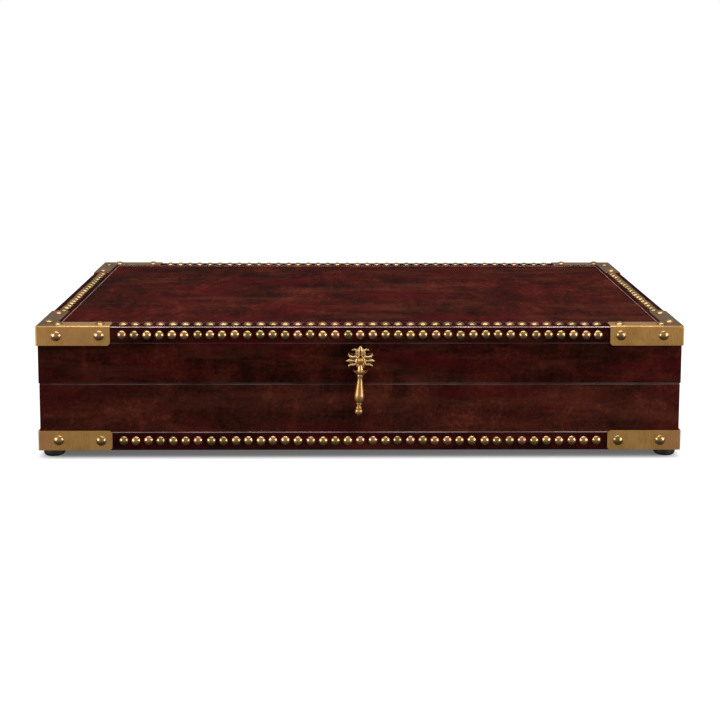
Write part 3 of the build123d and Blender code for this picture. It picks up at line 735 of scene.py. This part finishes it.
def soften(node, body, material, slot, width):
    """Puts a copy of a node's shape with its sharp edges rounded in the node's place."""
    piece = bpy.data.objects.new(node + "_softened", nodes[node].data.copy())
    bpy.context.scene.collection.objects.link(piece)
    pick(piece)
    bpy.ops.object.mode_set(mode="EDIT")
    bpy.ops.mesh.select_all(action="SELECT")
    bpy.ops.mesh.remove_doubles(threshold=0.002 * MM)
    bpy.ops.mesh.dissolve_limited(angle_limit=math.radians(1))
    bpy.ops.object.mode_set(mode="OBJECT")
    apply_modifier(piece, "BEVEL", width=width, segments=2, limit_method="ANGLE",
                   angle_limit=math.radians(35), use_clamp_overlap=True)
    smooth(piece, 40)
    belongs(piece, body, material, slot, node)


zinc, tree, place = new_material("zinc_plated_steel")
frosting = add(tree, "TexNoise", {"Vector": place, "Scale": 900.0, "Detail": 4.0})
colour = add(tree, "ValToRGB", {"Fac": frosting.outputs["Fac"]}, stops=[(0.3, "#9a9a96"), (0.7, "#c3c4c4")])
gloss = add(tree, "MapRange", {"Value": frosting.outputs["Fac"], "To Min": 0.25, "To Max": 0.4})
shade(tree, Base_Color=colour.outputs["Color"], Metallic=1.0, Roughness=gloss.outputs[0])
hinge_brass = brass("drawn_tarnished_brass", [(0.0, "#8a6a3a"), (0.5, "#b08c52"), (1.0, "#c4a266")],
                    "#a87a50", 0.3, 0.4 * MM, 0)
for node, material, slot, width in (
    ("pull_post", pull_brass, "pull_brass", 0.25),
    ("pull_pin", pull_brass, "pull_brass", 0.1),
    ("pull_nut", pull_brass, "pull_brass", 0.2),
    ("hinge_lid_leaf_left", hinge_brass, "hinge_brass", 0.12),
    ("hinge_lid_leaf_right", hinge_brass, "hinge_brass", 0.12),
    ("hinge_base_leaf_left", hinge_brass, "hinge_brass", 0.12),
    ("hinge_base_leaf_right", hinge_brass, "hinge_brass", 0.12),
    ("hinge_pin_left", zinc, "screw_steel", 0.15),
    ("hinge_pin_right", zinc, "screw_steel", 0.15),
    ("hinge_lid_screws", zinc, "screw_steel", 0.1),
    ("hinge_base_screws", zinc, "screw_steel", 0.1),
    ("foot_screws", zinc, "screw_steel", 0.15),
):
    soften(node, fixed_to[node], material, slot, width * MM)


# Drop of the pull: a casting turned on the lathe, with a dished collar whose tips stand up,
# a round body that widens downwards, a ring, a bead and a ball. It hangs on the pin by a flat tab.
def turned(name, outline, sides, origin):
    """A turned shape from heights above its origin and radii, in millimetres, left in edit mode."""
    bpy.ops.object.select_all(action="DESELECT")
    height, radius = outline[0]
    bpy.ops.mesh.primitive_circle_add(vertices=sides, radius=radius * MM, fill_type="NGON",
                                      location=origin + Vector((0, 0, height * MM)))
    piece = bpy.context.object
    piece.name = name
    bpy.ops.object.transform_apply(location=True, rotation=True, scale=True)
    bpy.ops.object.mode_set(mode="EDIT")
    bpy.ops.mesh.select_all(action="SELECT")
    for next_height, next_radius in outline[1:]:
        share = next_radius / radius
        bpy.ops.mesh.extrude_region_move(
            TRANSFORM_OT_translate={"value": (0, 0, (next_height - height) * MM)}
        )
        bpy.ops.transform.resize(value=(share, share, 1), center_override=origin)
        height, radius = next_height, next_radius
    bpy.ops.mesh.select_all(action="SELECT")
    bpy.ops.mesh.normals_make_consistent(inside=False)
    return piece


drop_end = -51.8
ball_radius = 3.85
ball_height = drop_end + ball_radius
body_outline = [(-12.6, 2.8), (-13.9, 3.0), (-14.9, 2.6), (-16.5, 2.45), (-18.5, 2.6), (-21.0, 2.95),
                (-24.0, 3.5), (-27.0, 4.0), (-30.0, 4.45), (-32.0, 4.75), (-33.6, 4.9), (-35.2, 4.75),
                (-36.8, 4.45), (-38.0, 4.05), (-38.8, 3.2), (-39.2, 2.5), (-39.6, 2.35), (-40.0, 2.7),
                (-40.5, 2.85), (-41.0, 2.6), (-41.5, 1.95), (-42.0, 1.8), (-42.6, 1.95), (-43.3, 2.5),
                (-44.1, 2.9), (-44.9, 2.95), (-45.6, 2.75)]
for step in range(9):
    turn = math.radians(50 + 14.5 * step)
    body_outline.append((ball_height + ball_radius * math.cos(turn), ball_radius * math.sin(turn)))
drop = turned("pull_drop_turned", body_outline, 36, pivot)
bpy.ops.object.mode_set(mode="OBJECT")

collar_half_depth = 4.2
tips_from, tips_rise = 3.2, 0.75
collar_outline = [(-14.4, 2.8), (-13.4, 3.3), (-12.3, 4.2), (-11.3, 5.3), (-10.4, 6.3), (-9.8, 6.75),
                  (-9.5, 6.7), (-9.6, 6.3), (-10.0, 5.0), (-10.2, 3.0), (-10.2, 0.8)]
collar_radius = max(radius for height, radius in collar_outline)
collar = turned("pull_collar", collar_outline, 40, pivot)
bpy.ops.mesh.select_all(action="SELECT")
bpy.ops.transform.resize(value=(1, collar_half_depth / collar_radius, 1), center_override=pivot)
mesh = bmesh.from_edit_mesh(collar.data)
for vert in mesh.verts:
    outside = max(0.0, (abs(vert.co.x - pivot.x) / MM - tips_from) / (collar_radius - tips_from))
    vert.co.z += tips_rise * MM * outside**2
bmesh.update_edit_mesh(collar.data)
bpy.ops.object.mode_set(mode="OBJECT")

neck_outline = [(-3.3, 1.4), (-3.8, 2.0), (-5.0, 2.4), (-7.5, 2.7), (-9.0, 3.0), (-12.4, 2.8)]
neck = turned("pull_neck", neck_outline, 24, pivot)
bpy.ops.object.mode_set(mode="OBJECT")
bpy.ops.object.select_all(action="DESELECT")
tab_radius, tab_half, tab_edge = 2.3, 0.8, 0.3
stem_half, stem_length = 1.0, 5.0
pin_bore = 0.85
bpy.ops.mesh.primitive_cylinder_add(vertices=32, radius=tab_radius * MM, depth=2 * tab_half * MM,
                                    location=pivot, rotation=(0, math.radians(90), 0))
bpy.ops.object.transform_apply(location=True, rotation=True, scale=True)
tab = bpy.context.object
stem = block("stem", pivot + Vector((-tab_half, -stem_half, -stem_length)) * MM,
             pivot + Vector((tab_half, stem_half, 0)) * MM)
bpy.ops.object.mode_set(mode="OBJECT")
apply_modifier(tab, "BOOLEAN", object=stem, operation="UNION", solver="EXACT")
bpy.data.objects.remove(stem)
bpy.ops.object.select_all(action="DESELECT")
bpy.ops.mesh.primitive_cylinder_add(vertices=24, radius=pin_bore * MM, depth=through,
                                    location=pivot, rotation=(0, math.radians(90), 0))
carve(tab, bpy.context.object)
apply_modifier(tab, "BEVEL", width=tab_edge * MM, segments=2, limit_method="ANGLE",
               angle_limit=math.radians(50))
bpy.ops.object.select_all(action="DESELECT")
for part in (drop, collar, neck):
    part.select_set(True)
bpy.context.view_layer.objects.active = drop
bpy.ops.object.join()
askew = Matrix.Rotation(math.radians(2), 4, "Y")
drop.data.transform(Matrix.Translation(pivot) @ askew @ Matrix.Translation(-pivot))
drop.select_set(True)
tab.select_set(True)
bpy.ops.object.join()
smooth(drop, 40)
belongs(drop, "drop", pull_brass, "pull_brass", "pull_drop")


# Feet: moulded black rubber bumpers with a rounded lower edge, and a recess for the screw that holds each
# of them to the bottom board. The rubber is half matt, with a greyish dust in its skin.
rubber, tree, place = new_material("moulded_black_rubber")
dust = add(tree, "TexNoise", {"Vector": place, "Scale": 300.0, "Detail": 5.0})
colour = add(tree, "ValToRGB", {"Fac": dust.outputs["Fac"]}, stops=[(0.3, "#0c0b0b"), (0.8, "#2b2826")])
bump = add(tree, "Bump", {"Height": dust.outputs["Fac"], "Strength": 0.2, "Distance": 0.1 * MM})
shader = shade(tree, Base_Color=colour.outputs["Color"], Roughness=0.5, Normal=bump.outputs["Normal"])
shader.inputs["Specular IOR Level"].default_value = 0.35
foot_outline = [(0.0, 8.0), (0.15, 8.5), (0.7, 9.3), (1.6, 9.85), (2.8, 10.1), (4.2, 10.15), (5.6, 10.1),
                (6.6, 9.9), (7.0, 9.6)]
feet_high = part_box("rubber_feet")[1]
foot_radius = max(radius for height, radius in foot_outline) * MM
# Radius and depth of the hole for the screw and of the recess for its head
screw_hole = (1.85, 7.0)
screw_recess = (4.5, 3.0)
for along, across, corner in ((-1, -1, "front_left"), (1, -1, "front_right"), (-1, 1, "back_left"),
                              (1, 1, "back_right")):
    sole = Vector((along * (feet_high.x - foot_radius), across * (feet_high.y - foot_radius), 0))
    foot = turned("rubber_foot_" + corner, foot_outline, 40, sole)
    bpy.ops.object.mode_set(mode="OBJECT")
    for radius, depth in (screw_hole, screw_recess):
        bpy.ops.object.select_all(action="DESELECT")
        bpy.ops.mesh.primitive_cylinder_add(vertices=32, radius=radius * MM, depth=2 * depth * MM,
                                            location=sole)
        carve(foot, bpy.context.object)
    smooth(foot, 50)
    belongs(foot, "base", rubber, "foot_rubber", "rubber_feet")


# Boards: birch plywood under the leather and the felt, sanded, with glued mitres. Pale matt wood with its
# grain along the box, 8 mm apart, it is bare in a narrow line at the rims and in the holes and pockets.
plywood, tree, place = new_material("sanded_birch_plywood")
lengthwise = add(tree, "Mapping", {"Vector": place, "Scale": (9, 130, 130)}).outputs[0]
grain = add(tree, "TexNoise", {"Vector": lengthwise, "Scale": 1.0, "Detail": 6.0, "Distortion": 0.6})
colour = add(tree, "ValToRGB", {"Fac": grain.outputs["Fac"]},
             stops=[(0.35, "#a97f54"), (0.5, "#c39a6c"), (0.65, "#d2b084")])
bump = add(tree, "Bump", {"Height": grain.outputs["Fac"], "Strength": 0.2, "Distance": 0.1 * MM})
shade(tree, Base_Color=colour.outputs["Color"], Roughness=0.62, Normal=bump.outputs["Normal"])
for name, node in nodes.items():
    if name.endswith("_board"):
        node.data.materials.clear()
        node.data.materials.append(plywood)


# Lining: wool felt of 1.5 mm, dyed dark brown, cut to size and glued to the boards up to 2 mm below the
# rim. A pad of 2 mm lies on the floor of the base. It is matt and nearly even, and its fibres are drawn
# 1 mm long, coarser than real, so that they show.
felt, tree, place = new_material("dark_brown_wool_felt")
fibres = add(tree, "TexNoise", {"Vector": place, "Scale": 900.0, "Detail": 8.0, "Roughness": 0.75,
                                "Distortion": 2.0})
clouds = add(tree, "TexNoise", {"Vector": place, "Scale": 35.0, "Detail": 4.0})
mixed = add(tree, "Mix", {"Factor": 0.15, 2: fibres.outputs["Fac"], 3: clouds.outputs["Fac"]})
colour = add(tree, "ValToRGB", {"Fac": mixed.outputs[0]},
             stops=[(0.35, "#34231b"), (0.5, "#52382c"), (0.65, "#6e4f3e")])
bump = add(tree, "Bump", {"Height": fibres.outputs["Fac"], "Strength": 0.6, "Distance": 0.3 * MM})
shader = shade(tree, Base_Color=colour.outputs["Color"], Roughness=0.95, Normal=bump.outputs["Normal"])
shader.inputs["Specular IOR Level"].default_value = 0.15
shader.inputs["Sheen Weight"].default_value = 0.1
shader.inputs["Sheen Roughness"].default_value = 0.5


def sheet_between(name, low, high, edge):
    """A flat sheet that fills a box, with its cut edges rounded."""
    sheet = block(name, low, high)
    bpy.ops.mesh.select_all(action="SELECT")
    bpy.ops.mesh.bevel(offset=edge, segments=3, affect="EDGES")
    bpy.ops.object.mode_set(mode="OBJECT")
    return sheet


felt_edge = 0.45 * MM
felt_thickness = 1.5 * MM
nut_room = 1 * MM
for node, body, board, held in (("base_lining_floor", "base", "base_bottom_board", "laid"),
                                ("lid_lining_top", "lid", "lid_top_board", "stretched")):
    low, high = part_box(node)
    pad = sheet_between(node.replace("lining", "felt"), low, high, felt_edge)
    smooth(pad, 35)
    belongs(pad, body, felt, "lining_felt", node)
nut_low, nut_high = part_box("pull_nut")
for body in ("base", "lid"):
    node = body + "_lining_walls"
    low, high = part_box(node)
    for side, turn in quarter_turns.items():
        if side in ("front", "back"):
            across, reach, trim = high.x, high.y, 0
        else:
            across, reach, trim = high.y, high.x, felt_thickness
        wall = sheet_between("{}_felt_{}".format(body, side), (trim - across, -reach, low.z),
                             (across - trim, felt_thickness - reach, high.z), felt_edge)
        if body == "lid" and side == "front":
            bpy.ops.object.select_all(action="DESELECT")
            hole_radius = (nut_high.x - nut_low.x) / 2 + nut_room
            bpy.ops.mesh.primitive_cylinder_add(vertices=24, radius=hole_radius, depth=through,
                                                location=(0, -reach, pivot.z),
                                                rotation=(math.radians(90), 0, 0))
            carve(wall, bpy.context.object)
        wall.data.transform(Matrix.Rotation(math.radians(turn), 4, "Z"))
        smooth(wall, 35)
        belongs(wall, body, felt, "lining_felt", node)


# Cloth under the bottom: black buckram of 0.8 mm, glued over the cut edges of the turned-in leather.
# It is matt, and its grey threads are 0.8 mm apart.
buckram, tree, place = new_material("black_woven_buckram")
thread = 0.8 * MM
axes = add(tree, "SeparateXYZ", {0: place}).outputs
waves = []
for i in (0, 1):
    angle = add(tree, "Math", {0: axes[i], 1: 2 * math.pi / thread}, operation="MULTIPLY")
    waves.append(add(tree, "Math", {0: angle.outputs[0]}, operation="SINE").outputs[0])
weave = add(tree, "Math", {0: waves[0], 1: waves[1]}, operation="MULTIPLY")
level = add(tree, "MapRange", {"Value": weave.outputs[0], "From Min": -1.0, "From Max": 1.0})
colour = add(tree, "ValToRGB", {"Fac": level.outputs[0]}, stops=[(0.0, "#181616"), (1.0, "#3a3736")])
bump = add(tree, "Bump", {"Height": level.outputs[0], "Strength": 0.5, "Distance": 0.2 * MM})
shader = shade(tree, Base_Color=colour.outputs["Color"], Roughness=0.85, Normal=bump.outputs["Normal"])
shader.inputs["Specular IOR Level"].default_value = 0.2
low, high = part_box("base_underside_cloth")
cloth_edge = 0.25 * MM
cloth = sheet_between("base_buckram_cloth", low, high, cloth_edge)
smooth(cloth, 35)
belongs(cloth, "base", buckram, "underside_cloth", "base_underside_cloth")
